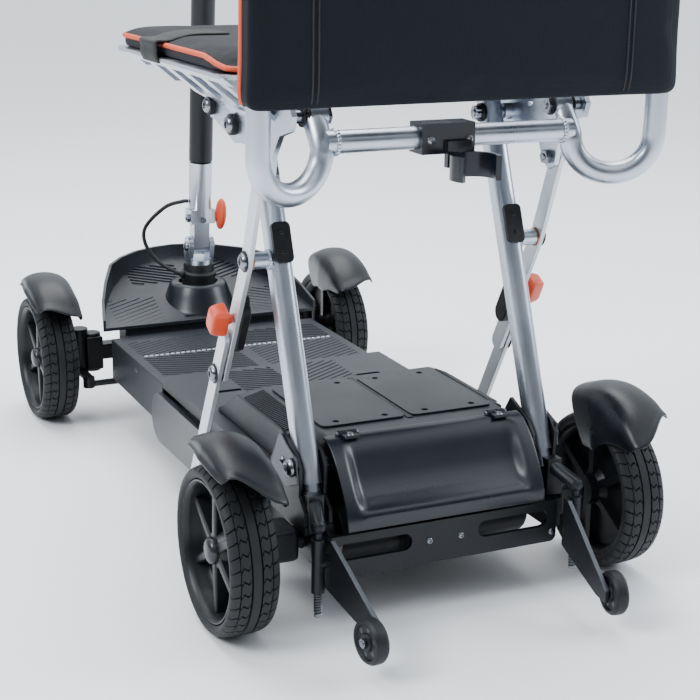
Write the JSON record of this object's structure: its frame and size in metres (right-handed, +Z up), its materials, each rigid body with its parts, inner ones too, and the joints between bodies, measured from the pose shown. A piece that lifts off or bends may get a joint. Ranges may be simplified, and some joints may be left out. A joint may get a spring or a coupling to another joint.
{
  "type": "mobility scooter",
  "caption": "Folding mobility scooter with scissor-link seat frame, ribbed footboard, steering tiller and rear anti-tip wheels.",
  "frame": {"origin": "on the ground, under the middle of the whole machine", "axes": "+X to the scooter's left, +Y to the rear (the scooter faces -Y), +Z up"},
  "size_m": [0.543, 1.1153, 0.8989],
  "materials": {
    "tyre": "solid rubber, lightly worn satin",
    "castor": "hard rubber, satin",
    "wheel_plastic": "moulded, satin",
    "fender": "satin black moulded shell",
    "deck_plastic": "fine-grained charcoal moulding",
    "gloss_black": "satin black moulding",
    "battery_case": "moulded case",
    "silver_metal": "brushed, silver",
    "bright_bar": "bright silver flat bar",
    "orange_plastic": "moulded, satin",
    "black_rubber": "soft rubber",
    "cushion_fabric": "charcoal woven cover",
    "neoprene": "black neoprene cover",
    "black_paint": "satin black powder coat"
  },
  "bodies": {
    "chassis": {"chassis_frame": "black_paint", "front_deck": "deck_plastic", "front_platform": "deck_plastic", "middle_cover": "deck_plastic", "rear_cover": "deck_plastic", "access_panel_left": "deck_plastic", "access_panel_right": "deck_plastic", "battery_pack": "battery_case", "rear_bumper": "black_paint", "side_panel_left": "gloss_black", "side_panel_right": "gloss_black", "rear_bracket_left": "black_paint", "rear_bracket_right": "black_paint", "transaxle": "black_paint", "fender_rear_left": "fender", "fender_rear_right": "fender", "front_axle": "black_paint"},
    "rear_lid": {"rear_lid": "gloss_black"},
    "steering": {"steering_column": "black_paint", "tiller_fork": "silver_metal", "harness_cable": "black_rubber"},
    "tiller": {"tiller_clamp": "silver_metal", "tiller_tube": "black_paint", "console": "gloss_black", "handlebar": "black_paint", "grip_left": "black_rubber", "grip_right": "black_rubber"},
    "tiller_latch": {"tiller_latch_lever": "orange_plastic"},
    "throttle": {"throttle_lever": "gloss_black"},
    "speed_dial": {"speed_dial": "orange_plastic"},
    "tie_rod": {"tie_rod": "black_paint"},
    "seat_legs": {"seat_leg_left": "silver_metal", "seat_leg_right": "silver_metal"},
    "seat": {"seat_pan": "silver_metal", "seat_cushion": "cushion_fabric"},
    "upper_links": {"upper_link_left": "bright_bar", "upper_link_right": "bright_bar"},
    "lower_links": {"lower_link_left": "bright_bar", "lower_link_right": "bright_bar"},
    "backrest": {"backrest_frame": "silver_metal", "backrest_pad": "neoprene", "cane_holder": "gloss_black"},
    "knuckle_left": {"knuckle_left": "black_paint", "fender_front_left": "fender"},
    "wheel_front_left": {"tyre_front_left": "tyre", "rim_front_left": "wheel_plastic"},
    "wheel_rear_left": {"tyre_rear_left": "tyre", "rim_rear_left": "wheel_plastic"},
    "lock_knob_left": {"lock_knob_left": "orange_plastic"},
    "anti_tip_arm_left": {"anti_tip_arm_left": "black_paint"},
    "anti_tip_wheel_left": {"anti_tip_wheel_left": "castor"},
    "knuckle_right": {"knuckle_right": "black_paint", "fender_front_right": "fender"},
    "wheel_front_right": {"tyre_front_right": "tyre", "rim_front_right": "wheel_plastic"},
    "wheel_rear_right": {"tyre_rear_right": "tyre", "rim_rear_right": "wheel_plastic"},
    "lock_knob_right": {"lock_knob_right": "orange_plastic"},
    "anti_tip_arm_right": {"anti_tip_arm_right": "black_paint"},
    "anti_tip_wheel_right": {"anti_tip_wheel_right": "castor"}
  },
  "joints": [
    {"name": "seat_fold", "type": "hinge", "parent": "chassis", "child": "seat_legs", "pos_m": [0, 0.36, 0.178], "axis": [1, 0, 0], "range_deg": [0, 46]},
    {"name": "seat_level", "type": "hinge", "parent": "seat_legs", "child": "seat", "pos_m": [0, 0.22257, 0.53603], "axis": [1, 0, 0], "range_deg": [-46, 0]},
    {"name": "link_swing", "type": "hinge", "parent": "seat_legs", "child": "upper_links", "pos_m": [0, 0.27747, 0.393], "axis": [1, 0, 0], "range_deg": [0, 31.5]},
    {"name": "knee_fold", "type": "hinge", "parent": "upper_links", "child": "lower_links", "pos_m": [0, 0.196, 0.243], "axis": [1, 0, 0], "range_deg": [-116, 0]},
    {"name": "backrest_fold", "type": "hinge", "parent": "seat", "child": "backrest", "pos_m": [0, 0.372, 0.562], "axis": [1, 0, 0], "range_deg": [0, 68]},
    {"name": "lid_hinge", "type": "hinge", "parent": "chassis", "child": "rear_lid", "pos_m": [0, 0.3485, 0.204], "axis": [1, 0, 0], "range_deg": [0, 75]},
    {"name": "steering_turn", "type": "hinge", "parent": "chassis", "child": "steering", "pos_m": [0, -0.43, 0.146], "axis": [0, 0.0941, 0.9956], "range_deg": [-20, 20]},
    {"name": "tiller_fold", "type": "hinge", "parent": "steering", "child": "tiller", "pos_m": [0, -0.41946, 0.2575], "axis": [1, 0, 0], "range_deg": [-30, 0], "deforming": ["harness_cable"]},
    {"name": "latch_turn", "type": "hinge", "parent": "tiller", "child": "tiller_latch", "pos_m": [-0.02, -0.40698, 0.30454], "axis": [1, 0, 0], "range_deg": [0, 60]},
    {"name": "throttle_turn", "type": "hinge", "parent": "tiller", "child": "throttle", "pos_m": [0, -0.33674, 0.79073], "axis": [0, 0, 1], "range_deg": [-12, 12], "stiffness_Nm_per_rad": 1.5},
    {"name": "speed_dial_turn", "type": "hinge", "parent": "tiller", "child": "speed_dial", "pos_m": [0.026, -0.32202, 0.86174], "axis": [0, 0.929, 0.37], "range_deg": [-135, 135]},
    {"name": "knuckle_turn_left", "type": "hinge", "parent": "chassis", "child": "knuckle_left", "pos_m": [0.19, -0.449, 0.1], "axis": [0, 0, 1], "range_deg": [-20, 20]},
    {"name": "front_wheel_spin_left", "type": "hinge", "parent": "knuckle_left", "child": "wheel_front_left", "pos_m": [0.2405, -0.449, 0.095], "axis": [1, 0, 0], "continuous": true},
    {"name": "rear_wheel_spin_left", "type": "hinge", "parent": "chassis", "child": "wheel_rear_left", "pos_m": [0.2425, 0.359, 0.095], "axis": [1, 0, 0], "continuous": true},
    {"name": "lock_pull_left", "type": "slide", "parent": "upper_links", "child": "lock_knob_left", "axis": [1, 0, 0], "range_m": [0, 0.008], "stiffness_N_per_m": 800},
    {"name": "anti_tip_swing_left", "type": "hinge", "parent": "chassis", "child": "anti_tip_arm_left", "pos_m": [0.162, 0.424, 0.09], "axis": [0, 0, 1], "range_deg": [0, 60]},
    {"name": "anti_tip_wheel_spin_left", "type": "hinge", "parent": "anti_tip_arm_left", "child": "anti_tip_wheel_left", "pos_m": [0.14803, 0.53009, 0.044], "axis": [0.9914, 0.1305, 0], "continuous": true},
    {"name": "knuckle_turn_right", "type": "hinge", "parent": "chassis", "child": "knuckle_right", "pos_m": [-0.19, -0.449, 0.1], "axis": [0, 0, 1], "range_deg": [-20, 20]},
    {"name": "front_wheel_spin_right", "type": "hinge", "parent": "knuckle_right", "child": "wheel_front_right", "pos_m": [-0.2405, -0.449, 0.095], "axis": [1, 0, 0], "continuous": true},
    {"name": "rear_wheel_spin_right", "type": "hinge", "parent": "chassis", "child": "wheel_rear_right", "pos_m": [-0.2425, 0.359, 0.095], "axis": [1, 0, 0], "continuous": true},
    {"name": "lock_pull_right", "type": "slide", "parent": "upper_links", "child": "lock_knob_right", "axis": [-1, 0, 0], "range_m": [0, 0.008], "stiffness_N_per_m": 800},
    {"name": "anti_tip_swing_right", "type": "hinge", "parent": "chassis", "child": "anti_tip_arm_right", "pos_m": [-0.162, 0.424, 0.09], "axis": [0, 0, 1], "range_deg": [-60, 0]},
    {"name": "anti_tip_wheel_spin_right", "type": "hinge", "parent": "anti_tip_arm_right", "child": "anti_tip_wheel_right", "pos_m": [-0.14803, 0.53009, 0.044], "axis": [-0.9914, 0.1305, 0], "continuous": true},
    {"name": "tie_rod_shift", "type": "slide", "parent": "chassis", "child": "tie_rod", "axis": [1, 0, 0], "range_m": [-0.0185, 0.0185]}
  ],
  "couplings": [
    {"joint": "seat_level", "follows": "seat_fold", "ratio": -1},
    {"joint": "link_swing", "follows": "seat_fold", "ratio": 0.6734},
    {"joint": "knee_fold", "follows": "seat_fold", "ratio": -2.5127},
    {"joint": "knuckle_turn_left", "follows": "steering_turn", "ratio": 1},
    {"joint": "knuckle_turn_right", "follows": "steering_turn", "ratio": 1},
    {"joint": "tie_rod_shift", "follows": "steering_turn", "m_per_rad": -0.052}
  ]
}
